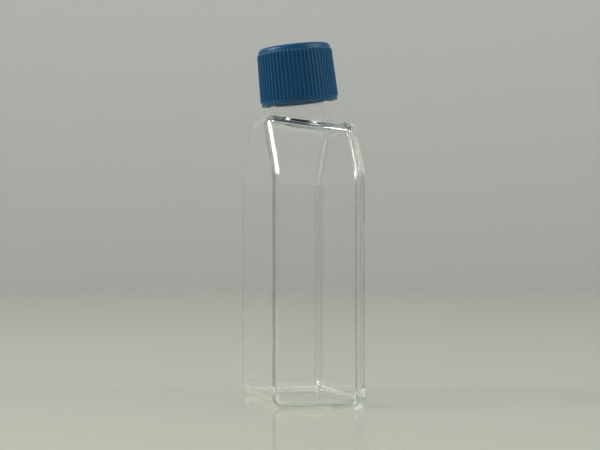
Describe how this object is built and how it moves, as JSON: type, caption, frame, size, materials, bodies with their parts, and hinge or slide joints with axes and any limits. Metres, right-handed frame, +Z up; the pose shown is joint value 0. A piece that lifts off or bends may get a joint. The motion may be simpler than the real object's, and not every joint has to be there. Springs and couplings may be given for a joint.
{
  "type": "cell culture flask",
  "caption": "Small flat rectangular culture flask with sloping shoulders, a canted round neck and a ribbed plug-seal screw cap, standing on its base end.",
  "frame": {"origin": "middle of the base end, the flat end that the flask stands on, opposite the neck", "axes": "+Z up from the base end towards the neck and cap; +X through the flask's depth towards the growth plate, so the roof faces -X and the neck leans that way; +Y along its width"},
  "size_m": [0.023, 0.0426, 0.0929],
  "materials": {
    "clear_polystyrene": "clear moulded polystyrene, polished",
    "blue_polyethylene": "deep blue moulded polyethylene, semi-gloss"
  },
  "bodies": {
    "flask": {"flask_body": "clear_polystyrene", "growth_plate": "clear_polystyrene"},
    "cap": {"cap": "blue_polyethylene"}
  },
  "joints": [
    {"name": "cap_lift", "type": "slide", "parent": "flask", "child": "cap", "axis": [-0.1097, 0, 0.994], "range_m": [0, 0.035]}
  ]
}
